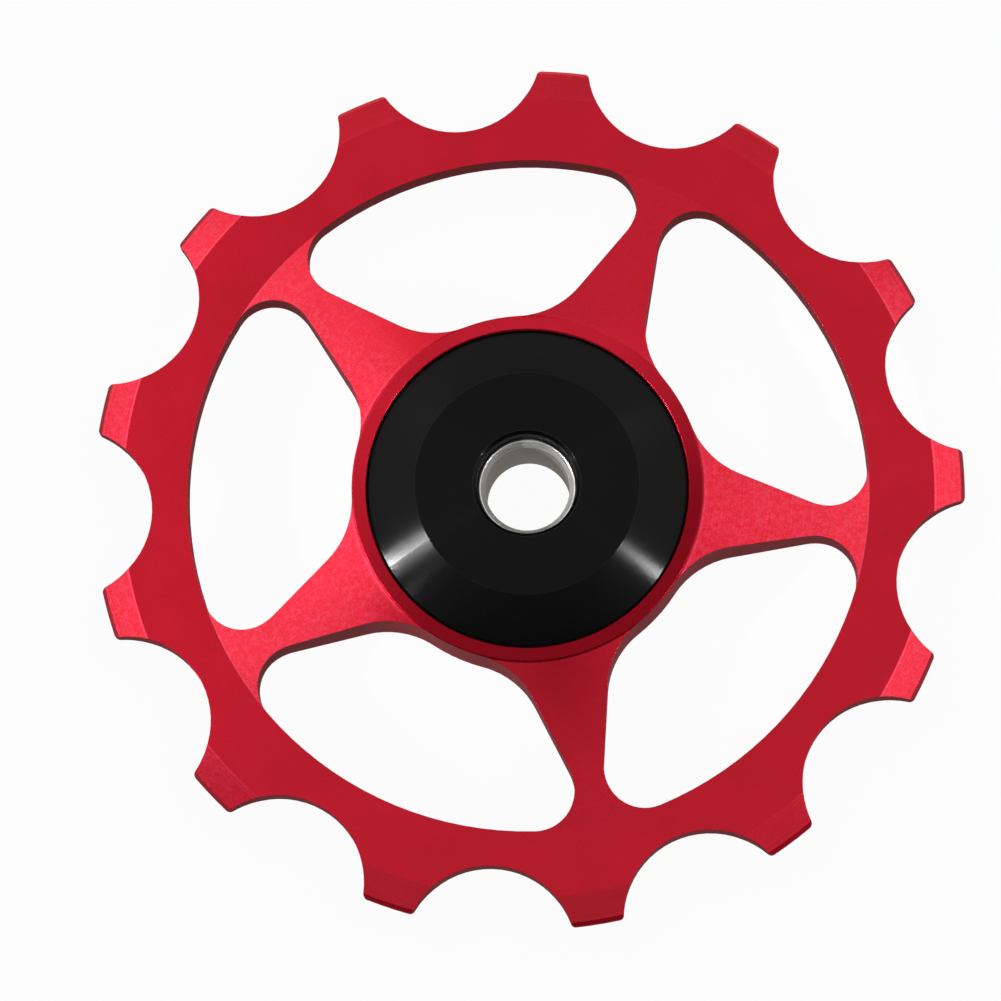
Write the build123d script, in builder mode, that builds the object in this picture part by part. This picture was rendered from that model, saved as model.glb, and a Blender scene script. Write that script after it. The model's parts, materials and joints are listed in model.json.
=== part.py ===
import os
from math import cos, radians, sin, sqrt, tan

from build123d import *

os.makedirs("parts", exist_ok=True)

# Chain and teeth
tooth_count = 13
chain_pitch = 12.7
roller_diameter = 7.75
roller_clearance = 0.08  # roller to tooth root, on the radius
valley_radius = 5.15  # valleys are cut wider than the roller
tooth_height = 3.62  # root to tip
tip_corner_radius = 0.3
tip_bevel_width = 1.85  # conical bevel on both sides of the tips
tip_bevel_drop = 0.42
tip_edge_chamfer = 0.22

# Rim, spokes and hub
rim_thickness = 1.85
rim_width = 2.13  # tooth root to window
spoke_count = 5
spoke_neck_width = 1.9  # where the spoke is narrowest
spoke_taper = 15  # degrees, each side
spoke_neck_radius = 3.0
spoke_neck_flat = 0.04  # straight stretch past the neck
window_rim_fillet = 2.4
window_hub_fillet = 5.0
hub_thickness = 4.75
hub_ring_width = 0.79  # flat ring round the cover
hub_ring_bevel = 0.12  # edge of the ring, down to the spokes
hub_wall = 0.86  # counterbore to window
hub_edge_chamfer = 0.05

# Ball bearing, 6 x 12 x 4 mm
bearing_bore = 6.0
bearing_diameter = 12.0
bearing_width = 4.0
bearing_chamfer = 0.15
ball_count = 11
ball_share = 0.53  # of the section between bore and outside
land_share = 0.43  # open between the two rings
cage_share = 0.3
seal_seat_share = 0.1
ball_clearance = 0.03  # ball to groove
pocket_clearance = 0.08  # ball to cage
seal_thickness = 0.25
seal_depth = 0.45  # seal seat below the bearing's face
seal_lip_clearance = 0.06
cage_side_clearance = 0.15
cage_horn_height = 0.5  # above the balls' centres

# Turned covers
cover_diameter = 19.2
cover_flat_diameter = 13.4
cover_rise = 1.58  # flat above the edge
cover_edge_thickness = 0.72
cover_edge_sink = 0.13  # edge below the hub ring
cover_side_clearance = 0.05
cover_floor_clearance = 0.12
cover_bearing_clearance = 0.2  # round the outer ring
cover_seal_clearance = 0.12  # above the outer ring and the seals
cover_mouth_chamfer = 0.22
cover_edge_chamfer = 0.1

# Centre bush for an M5 bolt
bush_bore = 5.05
bush_length = 6.2
bush_front_sink = 1.425  # front end below the cover's flat
bush_outer_chamfer = 0.1
bush_lead_in = 0.28  # wider at both ends of the bore, on the radius
bush_lead_in_length = 0.5

# Fits
seat_clearance = 0.01
bush_clearance = 0.02

# Radii and heights that follow from these
tooth_angle = 360 / tooth_count
pitch_radius = chain_pitch / 2 / sin(radians(tooth_angle / 2))
root_radius = pitch_radius - roller_diameter / 2 - roller_clearance
tip_radius = root_radius + tooth_height
tip_bevel_radius = tip_radius - tip_bevel_width
valley_centre_radius = root_radius + valley_radius
rim_top = rim_thickness / 2
tip_top = rim_top - tip_bevel_drop
window_outer_radius = root_radius - rim_width

hub_top = hub_thickness / 2
counterbore_radius = cover_diameter / 2 + cover_side_clearance
hub_ring_radius = counterbore_radius + hub_ring_width
window_inner_radius = counterbore_radius + hub_wall
cover_edge_top = hub_top - cover_edge_sink
cover_skirt_bottom = cover_edge_top - cover_edge_thickness
counterbore_floor = cover_skirt_bottom - cover_floor_clearance
cover_flat_top = cover_edge_top + cover_rise

bearing_top = bearing_width / 2
bearing_radius = bearing_diameter / 2
bearing_bore_radius = bearing_bore / 2
bearing_section = bearing_radius - bearing_bore_radius
ball_radius = ball_share * bearing_section / 2
ball_pitch_radius = bearing_bore_radius + bearing_section / 2
groove_radius = ball_radius + ball_clearance
pocket_radius = ball_radius + pocket_clearance
inner_land_radius = ball_pitch_radius - land_share * bearing_section / 2
outer_land_radius = ball_pitch_radius + land_share * bearing_section / 2
seal_seat_width = seal_seat_share * bearing_section
seal_seat_radius = outer_land_radius + seal_seat_width
seal_bottom = bearing_top - seal_depth
cage_outer_radius = ball_pitch_radius + cage_share * bearing_section / 2
cage_inner_radius = ball_pitch_radius - cage_share * bearing_section / 2
cage_bottom = cage_side_clearance - seal_bottom
seat_radius = bearing_radius + seat_clearance
bush_radius = bearing_bore_radius - bush_clearance
bush_bore_radius = bush_bore / 2
bush_top = cover_flat_top - bush_front_sink
bush_bottom = bush_top - bush_length

# The spoke's sides turn parallel at its neck, just before the fillet at the rim
spoke_half_neck = spoke_neck_width / 2
rim_fillet_centre_radius = window_outer_radius - window_rim_fillet
neck_end = sqrt(rim_fillet_centre_radius**2 - (spoke_half_neck + window_rim_fillet) ** 2)
neck_start = neck_end - spoke_neck_flat - spoke_neck_radius * tan(radians(spoke_taper / 2))
spoke_half_root = spoke_half_neck + neck_start * tan(radians(spoke_taper))

# Toothed wheel: a turned section, cut to the tooth outline, with five windows
with BuildPart() as toothed_wheel:
    with BuildSketch(Plane.XZ):
        with BuildLine():
            Polyline(
                (seat_radius, 0),
                (seat_radius, counterbore_floor),
                (counterbore_radius, counterbore_floor),
                (counterbore_radius, hub_top - hub_edge_chamfer),
                (counterbore_radius + hub_edge_chamfer, hub_top),
                (hub_ring_radius, hub_top),
                (hub_ring_radius + hub_ring_bevel, hub_top - hub_ring_bevel),
                (window_outer_radius, rim_top),
                (tip_bevel_radius, rim_top),
                (tip_radius - tip_edge_chamfer, tip_top),
                (tip_radius, tip_top - tip_edge_chamfer),
                (tip_radius, 0),
                close=True,
            )
        make_face()
        mirror(about=Plane.XZ)
    revolve(axis=Axis.Z)

    with BuildSketch(Plane.XY.offset(-hub_top)) as tooth_outline:
        Circle(tip_radius)
        with PolarLocations(valley_centre_radius, tooth_count):
            Circle(valley_radius, mode=Mode.SUBTRACT)
        fillet(tooth_outline.vertices(), tip_corner_radius)
    extrude(amount=hub_thickness, mode=Mode.INTERSECT)

    with BuildSketch(Plane.XY.offset(-hub_top)) as windows:
        Circle(window_outer_radius)
        Circle(window_inner_radius, mode=Mode.SUBTRACT)
        with PolarLocations(0, spoke_count):
            Polygon(
                (0, -spoke_half_root),
                (neck_start, -spoke_half_neck),
                (tip_radius, -spoke_half_neck),
                (tip_radius, spoke_half_neck),
                (neck_start, spoke_half_neck),
                (0, spoke_half_root),
                align=None,
                mode=Mode.SUBTRACT,
            )
        fillet(windows.vertices().group_by(SortBy.DISTANCE)[1], spoke_neck_radius)
        fillet(windows.vertices().group_by(SortBy.DISTANCE)[-1], window_rim_fillet)
        fillet(windows.vertices().group_by(SortBy.DISTANCE)[0], window_hub_fillet)
    extrude(amount=hub_thickness, mode=Mode.SUBTRACT)

toothed_wheel.part.label = "toothed_wheel"
export_step(toothed_wheel.part, "parts/toothed_wheel.step")

# Front cover: boss on the inner ring, recess over the seal, skirt in the counterbore
with BuildPart() as front_cover:
    with BuildSketch(Plane.XZ):
        with BuildLine():
            Polyline(
                (bearing_bore_radius, bearing_top),
                (inner_land_radius, bearing_top),
                (inner_land_radius, bearing_top + cover_seal_clearance),
                (bearing_radius + cover_bearing_clearance, bearing_top + cover_seal_clearance),
                (bearing_radius + cover_bearing_clearance, cover_skirt_bottom),
                (cover_diameter / 2, cover_skirt_bottom),
                (cover_diameter / 2, cover_edge_top - cover_edge_chamfer),
                (cover_diameter / 2 - cover_edge_chamfer, cover_edge_top),
                (cover_flat_diameter / 2, cover_flat_top),
                (bearing_bore_radius + cover_mouth_chamfer, cover_flat_top),
                (bearing_bore_radius, cover_flat_top - cover_mouth_chamfer),
                close=True,
            )
        make_face()
    revolve(axis=Axis.Z)

front_cover.part.label = "front_cover"
export_step(front_cover.part, "parts/front_cover.step")

# Rear cover: the same piece turned over
with BuildPart() as rear_cover:
    add(mirror(front_cover.part, about=Plane.XY, mode=Mode.PRIVATE))

rear_cover.part.label = "rear_cover"
export_step(rear_cover.part, "parts/rear_cover.step")

# Centre bush: a tube with a tapered lead-in at both ends of its bore
with BuildPart() as centre_bush:
    with BuildSketch(Plane.XZ):
        with BuildLine():
            Polyline(
                (bush_bore_radius + bush_lead_in, bush_bottom),
                (bush_bore_radius, bush_bottom + bush_lead_in_length),
                (bush_bore_radius, bush_top - bush_lead_in_length),
                (bush_bore_radius + bush_lead_in, bush_top),
                (bush_radius - bush_outer_chamfer, bush_top),
                (bush_radius, bush_top - bush_outer_chamfer),
                (bush_radius, bush_bottom + bush_outer_chamfer),
                (bush_radius - bush_outer_chamfer, bush_bottom),
                close=True,
            )
        make_face()
    revolve(axis=Axis.Z)

centre_bush.part.label = "centre_bush"
export_step(centre_bush.part, "parts/centre_bush.step")

# Bearing rings, each with a groove for the balls
with BuildPart() as bearing_inner_ring:
    with BuildSketch(Plane.XZ) as inner_section:
        with Locations((bearing_bore_radius, 0)):
            ring_wall = inner_land_radius - bearing_bore_radius
            Rectangle(ring_wall, bearing_width, align=(Align.MIN, Align.CENTER))
        with Locations((ball_pitch_radius, 0)):
            Circle(groove_radius, mode=Mode.SUBTRACT)
        chamfer(inner_section.vertices().group_by(Axis.X)[0], bearing_chamfer)
    revolve(axis=Axis.Z)

bearing_inner_ring.part.label = "bearing_inner_ring"
export_step(bearing_inner_ring.part, "parts/bearing_inner_ring.step")

with BuildPart() as bearing_outer_ring:
    with BuildSketch(Plane.XZ) as outer_section:
        with Locations((bearing_radius, 0)):
            ring_wall = bearing_radius - outer_land_radius
            Rectangle(ring_wall, bearing_width, align=(Align.MAX, Align.CENTER))
        with Locations((outer_land_radius, bearing_top), (outer_land_radius, -bearing_top)):
            Rectangle(2 * seal_seat_width, 2 * seal_depth, mode=Mode.SUBTRACT)
        with Locations((ball_pitch_radius, 0)):
            Circle(groove_radius, mode=Mode.SUBTRACT)
        chamfer(outer_section.vertices().group_by(Axis.X)[-1], bearing_chamfer)
    revolve(axis=Axis.Z)

bearing_outer_ring.part.label = "bearing_outer_ring"
export_step(bearing_outer_ring.part, "parts/bearing_outer_ring.step")

# Seals stand on the steps of the outer ring, just clear of the inner ring
with BuildPart() as front_seal:
    with BuildSketch(Plane.XY.offset(seal_bottom)):
        Circle(seal_seat_radius - seat_clearance)
        Circle(inner_land_radius + seal_lip_clearance, mode=Mode.SUBTRACT)
    extrude(amount=seal_thickness)

front_seal.part.label = "front_seal"
export_step(front_seal.part, "parts/front_seal.step")

with BuildPart() as rear_seal:
    add(mirror(front_seal.part, about=Plane.XY, mode=Mode.PRIVATE))

rear_seal.part.label = "rear_seal"
export_step(rear_seal.part, "parts/rear_seal.step")

# Crown cage: a ring on the rear side, with a round pocket for each ball
with BuildPart() as bearing_cage:
    with BuildSketch(Plane.XY.offset(cage_bottom)):
        Circle(cage_outer_radius)
        Circle(cage_inner_radius, mode=Mode.SUBTRACT)
    extrude(amount=cage_horn_height - cage_bottom)
    with PolarLocations(ball_pitch_radius, ball_count):
        Sphere(pocket_radius, mode=Mode.SUBTRACT)

bearing_cage.part.label = "bearing_cage"
export_step(bearing_cage.part, "parts/bearing_cage.step")

# Balls, each in its pocket
for index in range(ball_count):
    angle = radians(360 / ball_count * index)
    centre = (ball_pitch_radius * cos(angle), ball_pitch_radius * sin(angle), 0)
    with BuildPart(Plane(centre)) as ball:
        Sphere(ball_radius)
    ball.part.label = f"ball_{index + 1}"
    export_step(ball.part, f"parts/ball_{index + 1}.step")
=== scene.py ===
import json
from math import radians

import bpy
from mathutils import Euler, Matrix, Vector


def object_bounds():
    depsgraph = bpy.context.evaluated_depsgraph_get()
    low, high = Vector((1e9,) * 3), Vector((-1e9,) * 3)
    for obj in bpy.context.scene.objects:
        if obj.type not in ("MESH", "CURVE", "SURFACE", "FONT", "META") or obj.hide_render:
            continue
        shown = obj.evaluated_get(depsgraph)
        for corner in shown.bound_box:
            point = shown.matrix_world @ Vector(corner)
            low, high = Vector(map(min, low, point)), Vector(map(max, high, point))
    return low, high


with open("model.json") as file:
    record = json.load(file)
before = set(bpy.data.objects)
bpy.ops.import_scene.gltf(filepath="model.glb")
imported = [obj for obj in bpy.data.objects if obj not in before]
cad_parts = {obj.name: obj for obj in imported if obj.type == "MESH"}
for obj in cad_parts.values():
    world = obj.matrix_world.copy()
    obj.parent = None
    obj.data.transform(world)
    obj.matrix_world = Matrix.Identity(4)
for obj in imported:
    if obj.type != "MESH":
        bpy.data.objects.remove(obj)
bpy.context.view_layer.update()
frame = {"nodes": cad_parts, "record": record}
nodes = frame["nodes"]
print("frame loaded:", len(nodes), "nodes")

# camera: a long lens almost straight above the wheel
camView = {
    "lens": 185.65,
    "sensor": 36.0,
    "clip": (0.01, 10.0),
    "place": (0.022522, 0.051617, 0.305237),
    "turn": (10.326, 1.465, 150.16),  # degrees
}
pictureTurn = Matrix.Rotation(radians(camView["turn"][2]), 3, "Z")  # to the picture's right and up


def addCamera():
    cam = bpy.data.cameras.new("studioCam")
    cam.lens = camView["lens"]
    cam.sensor_width = camView["sensor"]
    cam.clip_start, cam.clip_end = camView["clip"]
    camObj = bpy.data.objects.new("studioCam", cam)
    bpy.context.scene.collection.objects.link(camObj)
    camObj.location = camView["place"]
    camObj.rotation_euler = Euler([radians(angle) for angle in camView["turn"]], "XYZ")
    bpy.context.scene.camera = camObj


addCamera()
print("camera placed")


def newMaterial(name):
    mat = bpy.data.materials.new(name)
    mat.use_nodes = True
    return mat, mat.node_tree, mat.node_tree.nodes["Principled BSDF"]


def setSockets(tree, node, values):  # links another node's output, sets anything else
    for socket, value in values.items():
        if hasattr(value, "is_output"):
            tree.links.new(value, node.inputs[socket])
        else:
            node.inputs[socket].default_value = value


def addNode(tree, kind, values=None, **settings):
    node = tree.nodes.new(kind)
    for key, value in settings.items():
        setattr(node, key, value)
    setSockets(tree, node, values or {})
    return node


def maths(tree, operation, first, second=0.0):
    return addNode(tree, "ShaderNodeMath", {0: first, 1: second}, operation=operation).outputs[0]


def vectors(tree, operation, first, second=(0, 0, 0), output="Vector"):
    values = {0: first, 1: second}
    return addNode(tree, "ShaderNodeVectorMath", values, operation=operation).outputs[output]


def remap(tree, value, fromLow, fromHigh, toLow=0.0, toHigh=1.0):
    values = {"Value": value, 1: fromLow, 2: fromHigh, 3: toLow, 4: toHigh}
    return addNode(tree, "ShaderNodeMapRange", values).outputs[0]


def mixValue(tree, factor, first, second):
    values = {"Factor": factor, "A": first, "B": second}
    return addNode(tree, "ShaderNodeMix", values, data_type="FLOAT").outputs[0]


def mixColor(tree, factor, first, second):
    pair = [color if hasattr(color, "is_output") else (*color, 1) for color in (first, second)]
    values = {"Factor": factor, 6: pair[0], 7: pair[1]}  # the Mix node's colour sockets
    return addNode(tree, "ShaderNodeMix", values, data_type="RGBA").outputs[2]


def heightOf(tree, vector):
    return addNode(tree, "ShaderNodeSeparateXYZ", {0: vector}).outputs["Z"]


def objectPoint(tree):
    return addNode(tree, "ShaderNodeTexCoord").outputs["Object"]


def besideAxle(tree):  # the point with its height along the axle left out
    return vectors(tree, "MULTIPLY", objectPoint(tree), (1, 1, 0))


def axisRadius(tree):  # distance from the axle
    return vectors(tree, "LENGTH", besideAxle(tree), output="Value")


def axisWay(tree):  # direction away from the axle
    return vectors(tree, "NORMALIZE", besideAxle(tree))


def leanTo(tree, way):  # 1 on this side of the axle, -1 on the other
    return vectors(tree, "DOT_PRODUCT", axisWay(tree), way, "Value")


def grain(tree, size, detail):  # noise with spots of about this size
    values = {"Vector": objectPoint(tree), "Scale": 1 / size, "Detail": detail}
    return addNode(tree, "ShaderNodeTexNoise", values).outputs["Fac"]


def toolLines(tree, place, pitch, detail=3.0):  # fine uneven lines, about this far apart
    values = {"W": place, "Scale": 1 / pitch, "Detail": detail}
    return addNode(tree, "ShaderNodeTexNoise", values, noise_dimensions="1D").outputs["Fac"]


def turnedLines(tree, pitch):  # rings left by the lathe tool
    return toolLines(tree, axisRadius(tree), pitch)


def axleLines(tree, pitch):  # tool lines round a bore, stepping along the axle
    return toolLines(tree, heightOf(tree, objectPoint(tree)), pitch)


def bumpFrom(tree, height, depth, strength=1.0, normal=None):
    values = {"Height": height, "Distance": depth, "Strength": strength}
    if normal is not None:
        values["Normal"] = normal
    return addNode(tree, "ShaderNodeBump", values).outputs["Normal"]


def softEdges(tree, radius, samples=6):
    return addNode(tree, "ShaderNodeBevel", {"Radius": radius}, samples=samples).outputs["Normal"]


def edgeMask(tree, rounded, span, share):  # this share on the edges, 0 on the faces
    face = addNode(tree, "ShaderNodeNewGeometry").outputs["Normal"]
    same = vectors(tree, "DOT_PRODUCT", rounded, face, "Value")
    return remap(tree, same, *span, 0.0, share)


# 0 to 1 over a span of tilt, where a level face has a tilt of 1 and a wall has 0
def leanMask(tree, span):
    normal = addNode(tree, "ShaderNodeTexCoord").outputs["Normal"]
    tilt = maths(tree, "ABSOLUTE", heightOf(tree, normal))
    return remap(tree, tilt, *span)


# red dyed anodising on the milled and turned wheel
# in each finish a length is in metres, and a noise is its size and detail
redFinish = {
    "face": (0.80, 0.0020, 0.027),
    "faceDeep": (0.74, 0.0014, 0.022),
    "blotch": (0.003, 2.0),
    "blotchSpan": (0.35, 0.65),
    "rough": (0.272, 0.288),
    "mottle": (0.00032, 4.0),
    "mottleSpan": (0.35, 0.65),
    "mottleDepth": 0.0000025,
    "speck": (0.00011, 3.0),
    "speckDepth": 0.0000005,
    "toolPitch": 0.00016,
    "toolDepth": 0.0000045,
    "slopeLean": (0.998, 0.992),  # spokes and bevels lean this much
    "levelGrain": 0.15,  # left of the marks on level faces
    # pink flecks: partly grain, partly painted sheen on the lit sloping faces; also the colour of
    # the seams' painted highlight
    "fleckAndSheen": (0.90, 0.070, 0.150),
    "fleckGrain": (0.88, 1.24),
    "slopeFleck": 0.40,
    "litSidesWay": (-0.8674, 0.4976, 0.0),  # the two lit sides: painted sheen in the flecks and seams, painted shade on the tip chamfers
    "litSidesSpan": (0.62, 0.78),
    "litSidesFloor": 0.10,
    "toolShade": (0.50, 0.0010, 0.014),  # lines on the tooth bevels
    "bevelEdge": (0.02435, 0.0244),
    "bevelPitch": 0.00013,
    "bevelSpan": (0.4, 0.65),
    "bevelLines": 0.3,
    "seams": (0.01064, 0.02042, 0.02441),  # painted highlight lines where two turned faces meet, on the lit sides
    "seamWidth": 0.00008,
    "seamShare": 0.45,
    # dark tooth-tip chamfers on the lit sides: painted shade
    "tipPaintedShade": (0.20, 0.0010, 0.009),
    "tipEdge": (0.02594, 0.02600),  # chamfer round the tooth tips
    "tipShare": 0.75,
    # the walls' colour is darkened as painted shade for the shadowed floor they reflect; the walls
    # are also duller
    "wall": (0.15, 0.017, 0.021),
    "wallLean": (0.75, 0.45),
    "wallRough": 0.6,
    "wallMetal": 0.25,
    "wallShine": 0.025,
    # darker edges: painted shade along the edges
    "edge": (0.16, 0.004, 0.008),
    "edgeRadius": 0.00005,
    "edgeSpan": (0.99, 0.85),
    "paintedEdgeShare": 0.55,
    "grazing": (1.0, 0.14, 0.18),  # shine seen along a face
    "coat": 0.55,
    "coatRough": 0.16,
}

# painted shade: one half of the hub's ring is darkened, with two darker pools a little way along
# two spokes
hubPaintedShade = {
    "paintedShadeColor": (0.25, 0.004, 0.011),
    "side": (0.0844, 0.9964, 0.0),
    "sideSpan": (-0.6, 0.5),
    "ringEdge": (0.01048, 0.01058),
    "ringShare": 0.86,
    "shadePools": (  # centre, reach, share
        ((0.00356, 0.00988, 0.0024), 0.0075, 0.55),
        ((0.01023, 0.00376, 0.0023), 0.0032, 0.45),
    ),
}


# the mask of the painted shade round the hub
def hubShade(tree):
    look = hubPaintedShade
    onRing = remap(tree, axisRadius(tree), *look["ringEdge"], 1.0, 0.0)
    half = remap(tree, leanTo(tree, look["side"]), *look["sideSpan"], 0.0, look["ringShare"])
    shade = maths(tree, "MULTIPLY", onRing, half)
    for centre, reach, share in look["shadePools"]:
        apart = vectors(tree, "DISTANCE", objectPoint(tree), centre, "Value")
        shade = maths(tree, "MAXIMUM", shade, remap(tree, apart, 0.0, reach, share, 0.0))
    return shade


def makeRedAnodised():
    look = redFinish
    mat, tree, bsdf = newMaterial("redAnodised")
    radius = axisRadius(tree)
    speck = grain(tree, *look["speck"])
    mottle = grain(tree, *look["mottle"])
    rounded = softEdges(tree, look["edgeRadius"])
    wall = leanMask(tree, look["wallLean"])
    slope = leanMask(tree, look["slopeLean"])
    shade = hubShade(tree)
    lean = maths(tree, "ABSOLUTE", leanTo(tree, look["litSidesWay"]))
    litSides = remap(tree, lean, *look["litSidesSpan"], look["litSidesFloor"], 1.0)

    patches = remap(tree, grain(tree, *look["blotch"]), *look["blotchSpan"])
    color = mixColor(tree, patches, look["face"], look["faceDeep"])
    # flecks: grain, painted as sheen mostly on the sloping faces of the two lit sides
    flecksAndSheen = remap(tree, maths(tree, "ADD", speck, mottle), *look["fleckGrain"])
    flecksAndSheen = maths(tree, "MULTIPLY", flecksAndSheen, remap(tree, slope, 0.0, 1.0, 0.0, look["slopeFleck"]))
    color = mixColor(tree, maths(tree, "MULTIPLY", flecksAndSheen, litSides), color, look["fleckAndSheen"])
    onBevel = remap(tree, radius, *look["bevelEdge"], 0.0, look["bevelLines"])
    lines = remap(tree, turnedLines(tree, look["bevelPitch"]), *look["bevelSpan"])
    color = mixColor(tree, maths(tree, "MULTIPLY", lines, onBevel), color, look["toolShade"])
    # painted highlight at the seams, on the lit sides
    for seam in look["seams"]:
        away = maths(tree, "ABSOLUTE", maths(tree, "SUBTRACT", radius, seam))
        seamHighlight = remap(tree, away, 0.0, look["seamWidth"], look["seamShare"], 0.0)
        color = mixColor(tree, maths(tree, "MULTIPLY", seamHighlight, litSides), color, look["fleckAndSheen"])
    # painted shade on the tooth-tip chamfers of the lit sides
    onTip = remap(tree, radius, *look["tipEdge"], 0.0, look["tipShare"])
    color = mixColor(tree, maths(tree, "MULTIPLY", onTip, litSides), color, look["tipPaintedShade"])
    # the hub's painted shade
    color = mixColor(tree, shade, color, hubPaintedShade["paintedShadeColor"])
    # walls darker: partly their duller finish, partly painted shade
    color = mixColor(tree, wall, color, look["wall"])
    # painted shade along the edges
    paintedEdge = edgeMask(tree, rounded, look["edgeSpan"], look["paintedEdgeShare"])

    satin = remap(tree, mottle, *look["mottleSpan"], *look["rough"])
    # no coat on the walls or in the hub's painted shade
    wallOrPaintedShade = maths(tree, "MAXIMUM", wall, shade)
    marks = remap(tree, slope, 0.0, 1.0, look["levelGrain"], 1.0)
    normal = bumpFrom(tree, turnedLines(tree, look["toolPitch"]), look["toolDepth"], marks, rounded)
    normal = bumpFrom(tree, mottle, look["mottleDepth"], marks, normal)
    setSockets(tree, bsdf, {
        "Base Color": mixColor(tree, paintedEdge, color, look["edge"]),
        "Roughness": mixValue(tree, wall, satin, look["wallRough"]),
        "Metallic": remap(tree, wall, 0.0, 1.0, 1.0, look["wallMetal"]),
        "Specular IOR Level": look["wallShine"],
        "Specular Tint": (*look["grazing"], 1),
        "Coat Weight": remap(tree, wallOrPaintedShade, 0.0, 1.0, look["coat"], 0.0),
        "Coat Roughness": look["coatRough"],
        "Normal": bumpFrom(tree, speck, look["speckDepth"], normal=normal),
    })
    return mat


# black anodising over a turned face: shine stretches across the tool's rings
blackFinish = {
    "dye": (0.0012, 0.0012, 0.0013),
    "flatRough": 0.10,
    "flatEdge": (0.00665, 0.00675),  # from the flat to the bevel
    "bevelReach": (0.0067, 0.0096),
    "bevelRough": (0.33, 0.20),  # inner, outer
    "wallLean": (0.65, 0.25),
    "wallRough": 0.6,  # dull inside the bore
    "stretch": 1.0,
    "shine": 0.15,
    "toolPitch": 0.00011,
    "toolDepth": 0.0000016,
    "speck": (0.00009, 3.0),
    "speckDepth": 0.000002,
    # lighter edges: painted highlight along the edges
    "edge": (0.05, 0.05, 0.05),
    "edgeRadius": 0.00005,
    "edgeSpan": (0.99, 0.85),
    "paintedEdgeShare": 0.5,
}


def radialTangent(tree):  # points away from the axle
    turn = addNode(tree, "ShaderNodeVectorTransform", {0: axisWay(tree)}, vector_type="VECTOR")
    turn.convert_from = "OBJECT"
    turn.convert_to = "WORLD"
    return turn.outputs[0]


def makeBlackAnodised():
    look = blackFinish
    mat, tree, bsdf = newMaterial("blackAnodised")
    radius = axisRadius(tree)
    rounded = softEdges(tree, look["edgeRadius"])
    # painted highlight along the edges
    paintedEdge = edgeMask(tree, rounded, look["edgeSpan"], look["paintedEdgeShare"])
    onBevel = remap(tree, radius, *look["flatEdge"])
    bevel = remap(tree, radius, *look["bevelReach"], *look["bevelRough"])
    satin = mixValue(tree, onBevel, look["flatRough"], bevel)
    wall = leanMask(tree, look["wallLean"])
    normal = bumpFrom(tree, turnedLines(tree, look["toolPitch"]), look["toolDepth"], normal=rounded)
    setSockets(tree, bsdf, {
        "Base Color": mixColor(tree, paintedEdge, look["dye"], look["edge"]),
        "Roughness": mixValue(tree, wall, satin, look["wallRough"]),
        "Specular IOR Level": look["shine"],
        "Anisotropic": look["stretch"],
        "Tangent": radialTangent(tree),
        "Normal": bumpFrom(tree, grain(tree, *look["speck"]), look["speckDepth"], normal=normal),
    })
    return mat


# plain turned alloy, rougher inside the bore and darker there as painted shade
silverFinish = {
    "bright": (0.92, 0.91, 0.89),
    "dull": (0.78, 0.77, 0.75),
    "blotch": (0.0012, 2.0),
    "blotchSpan": (0.3, 0.7),
    "rough": (0.24, 0.36),
    "metal": 0.86,
    "shine": 0.2,
    "grazing": (0.55, 0.52, 0.48),  # shine seen along the bore
    "toolPitch": 0.00009,
    "toolSpan": (0.6, 1.4),
    "toolDepth": 0.0000015,
    # darker inside the bore: painted shade
    "bore": (0.225, 0.216, 0.202),
    "boreLean": (0.40, 0.15),
    "boreRough": 0.5,
    "boreMetal": 0.9,
    "edgeRadius": 0.0001,
}


def makeTurnedSilver():
    look = silverFinish
    mat, tree, bsdf = newMaterial("turnedSilver")
    pitch = look["toolPitch"]
    lines = maths(tree, "ADD", turnedLines(tree, pitch), axleLines(tree, pitch))
    bore = leanMask(tree, look["boreLean"])
    patches = remap(tree, grain(tree, *look["blotch"]), *look["blotchSpan"])
    color = mixColor(tree, patches, look["bright"], look["dull"])
    satin = remap(tree, lines, *look["toolSpan"], *look["rough"])
    rounded = softEdges(tree, look["edgeRadius"])
    setSockets(tree, bsdf, {
        # painted shade inside the bore
        "Base Color": mixColor(tree, bore, color, look["bore"]),
        "Roughness": mixValue(tree, bore, satin, look["boreRough"]),
        "Metallic": remap(tree, bore, 0.0, 1.0, look["metal"], look["boreMetal"]),
        "Specular IOR Level": look["shine"],
        "Specular Tint": (*look["grazing"], 1),
        "Normal": bumpFrom(tree, lines, look["toolDepth"], normal=rounded),
    })
    return mat


# ground steel of the bearing's rings and balls
steelFinish = {
    "steel": (0.56, 0.55, 0.53),
    "tint": (0.48, 0.47, 0.45),
    "blotch": (0.0007, 2.0),
    "rough": (0.12, 0.24),
    "toolPitch": 0.00006,
    "toolSpan": (0.3, 0.7),
    "toolDepth": 0.0000008,
}


def makeGroundSteel():
    look = steelFinish
    mat, tree, bsdf = newMaterial("groundSteel")
    lines = turnedLines(tree, look["toolPitch"])
    setSockets(tree, bsdf, {
        "Base Color": mixColor(tree, grain(tree, *look["blotch"]), look["steel"], look["tint"]),
        "Roughness": remap(tree, lines, *look["toolSpan"], *look["rough"]),
        "Metallic": 1.0,
        "Normal": bumpFrom(tree, lines, look["toolDepth"]),
    })
    return mat


# rubber seals, a little dusty
rubberFinish = {
    "rubber": (0.012, 0.012, 0.013),
    "dusty": (0.03, 0.029, 0.028),
    "spot": (0.00012, 4.0),
    "spotSpan": (0.3, 0.7),
    "rough": (0.6, 0.8),
    "depth": 0.000006,
}


def makeSealRubber():
    look = rubberFinish
    mat, tree, bsdf = newMaterial("sealRubber")
    spots = grain(tree, *look["spot"])
    setSockets(tree, bsdf, {
        "Base Color": mixColor(tree, spots, look["rubber"], look["dusty"]),
        "Roughness": remap(tree, spots, *look["spotSpan"], *look["rough"]),
        "Normal": bumpFrom(tree, spots, look["depth"]),
    })
    return mat


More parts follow.
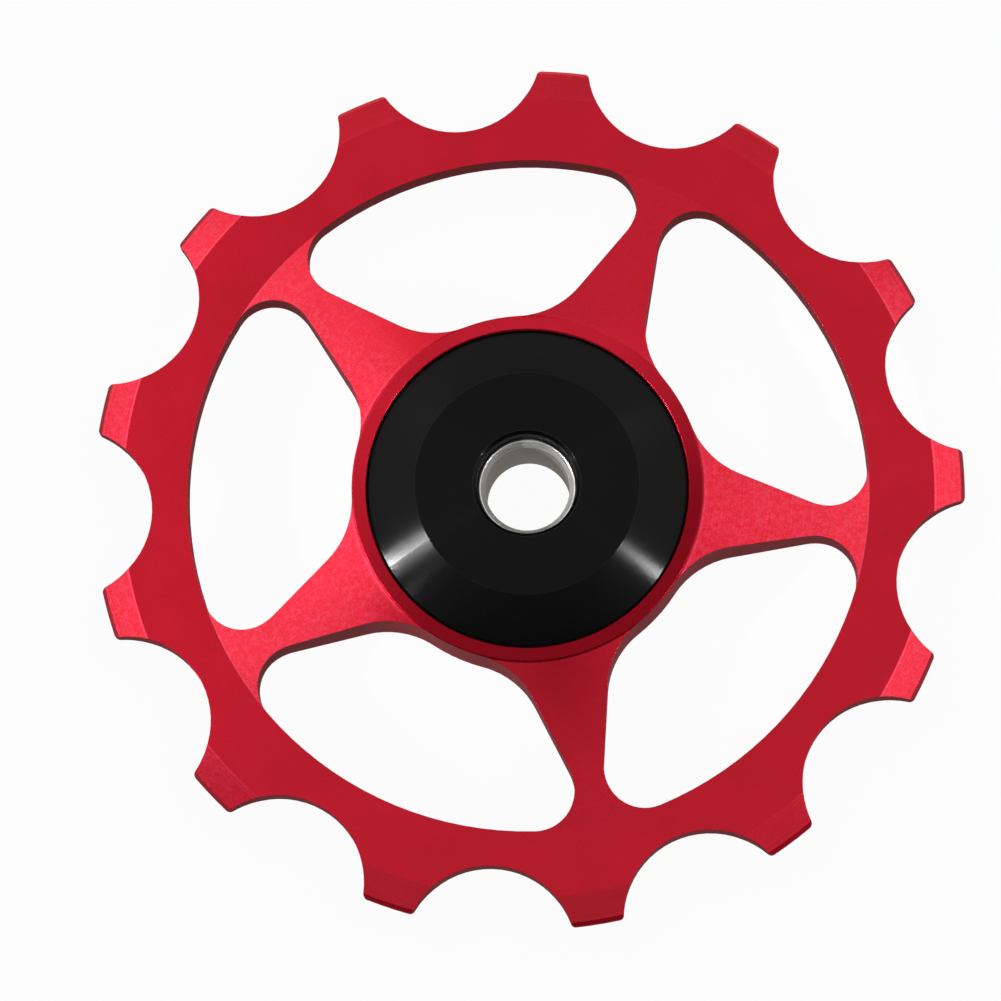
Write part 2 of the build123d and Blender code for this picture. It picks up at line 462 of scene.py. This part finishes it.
# moulded nylon of the ball cage, which lets a little light in
nylonFinish = {
    "nylon": (0.62, 0.58, 0.47),
    "shade": (0.50, 0.46, 0.36),
    "spot": (0.0003, 3.0),
    "spotSpan": (0.3, 0.7),
    "rough": (0.42, 0.55),
    "depth": 0.000004,
    "inside": 0.1,
    "insideReach": (0.0004, 0.0003, 0.0002),
}


def makeCageNylon():
    look = nylonFinish
    mat, tree, bsdf = newMaterial("cageNylon")
    spots = grain(tree, *look["spot"])
    setSockets(tree, bsdf, {
        "Base Color": mixColor(tree, spots, look["nylon"], look["shade"]),
        "Roughness": remap(tree, spots, *look["spotSpan"], *look["rough"]),
        "Subsurface Weight": look["inside"],
        "Subsurface Radius": look["insideReach"],
        "Normal": bumpFrom(tree, spots, look["depth"]),
    })
    return mat


def dressNodes():
    finishes = {
        "red_anodised": makeRedAnodised(),
        "black_anodised": makeBlackAnodised(),
        "bright_alloy": makeTurnedSilver(),
        "bearing_steel": makeGroundSteel(),
        "seal_rubber": makeSealRubber(),
        "cage_nylon": makeCageNylon(),
    }
    for part in frame["record"]["subparts"]:
        mesh = nodes[part["node"]].data
        mesh.materials.clear()
        mesh.materials.append(finishes[part["material_slot"]])


dressNodes()
print("finishes on")

# studio, laid out in the picture's own right and up
studio = {
    "floorSize": 4.0,
    "floorGap": 0.00002,
    "paper": (0.85, 0.85, 0.85),
    "paperRough": 0.9,
    "paperShine": 0.1,
    "whiteShare": 0.95,  # of the floor's look, the rest takes the shadow
    "whiteLevel": 1.0,
    "panelDistance": 0.6,
    "spotDistance": 0.3,
    "beamAngle": 4.4,  # degrees, so narrow that the beams stay on the hub
    "beamBlend": 0.4,
    "lamps": {  # where each stands, its size and its power
        "leftPanel": {"toward": (-0.501, 0.31, 1.0), "size": (0.227, 0.40), "power": 0.36},
        "rightPanel": {"toward": (0.535, 0.15, 1.0), "size": (0.212, 0.41), "power": 0.30},
        "leftSpot": {"toward": (-0.772, -0.242, 0.587), "radius": 0.009, "power": 7.2},
        "leftWing": {"toward": (-0.70, -0.42, 0.587), "radius": 0.025, "power": 0.45},
        "rightSpot": {"toward": (0.732, -0.331, 0.594), "radius": 0.0075, "power": 1.7},
    },
    "zenith": (0.49, 0.49, 0.49),
    "horizon": (0.85, 0.85, 0.85),
    "frontShade": 0.04,  # left of the light on the near side
    "frontSpan": (0.45, 0.70),
}


def addFloor():
    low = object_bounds()[0].z - studio["floorGap"]
    bpy.ops.object.select_all(action="DESELECT")
    bpy.ops.mesh.primitive_plane_add(size=studio["floorSize"], location=(0, 0, low))
    floor = bpy.context.object
    floor.name = "studioFloor"
    mat, tree, bsdf = newMaterial("floorPaper")
    setSockets(tree, bsdf, {
        "Base Color": (*studio["paper"], 1),
        "Roughness": studio["paperRough"],
        "Specular IOR Level": studio["paperShine"],
    })
    values = {"Color": (1, 1, 1, 1), "Strength": studio["whiteLevel"]}
    white = addNode(tree, "ShaderNodeEmission", values)
    rays = addNode(tree, "ShaderNodeLightPath").outputs
    seen = maths(tree, "MAXIMUM", rays["Is Camera Ray"], rays["Is Glossy Ray"])
    seen = maths(tree, "MAXIMUM", seen, rays["Is Transmission Ray"])
    share = maths(tree, "MULTIPLY", seen, studio["whiteShare"])
    mix = addNode(tree, "ShaderNodeMixShader", {0: share, 1: bsdf.outputs[0], 2: white.outputs[0]})
    tree.links.new(mix.outputs[0], tree.nodes["Material Output"].inputs["Surface"])
    floor.data.materials.append(mat)


def addLamps():
    for name, lamp in studio["lamps"].items():
        aim = pictureTurn @ Vector(lamp["toward"]).normalized()
        if "radius" in lamp:
            light = bpy.data.lights.new(name, "SPOT")
            light.spot_size = radians(studio["beamAngle"])
            light.spot_blend = studio["beamBlend"]
            light.shadow_soft_size = lamp["radius"]
            distance = studio["spotDistance"]
        else:
            light = bpy.data.lights.new(name, "AREA")
            light.shape = "RECTANGLE"
            light.size, light.size_y = lamp["size"]
            distance = studio["panelDistance"]
        light.energy = lamp["power"]
        lightObj = bpy.data.objects.new(name, light)
        bpy.context.scene.collection.objects.link(lightObj)
        across = (pictureTurn @ Vector((0, 1, 0))).cross(aim).normalized()
        facing = Matrix((across, aim.cross(across), aim)).transposed()
        lightObj.location = aim * distance
        lightObj.rotation_euler = facing.to_euler()


def addWorld():
    world = bpy.data.worlds.new("studioWorld")
    bpy.context.scene.world = world
    world.use_nodes = True
    tree = world.node_tree
    way = addNode(tree, "ShaderNodeTexCoord").outputs["Generated"]
    rise = remap(tree, heightOf(tree, way), 0.0, 1.0)
    near = pictureTurn @ Vector((0, -1, 0))
    lean = vectors(tree, "DOT_PRODUCT", way, near, "Value")
    setSockets(tree, tree.nodes["Background"], {
        "Color": mixColor(tree, rise, studio["horizon"], studio["zenith"]),
        "Strength": remap(tree, lean, *studio["frontSpan"], 1.0, studio["frontShade"]),
    })


addFloor()
addLamps()
addWorld()
print("studio ready")

bpy.context.scene.view_settings.view_transform = "Standard"
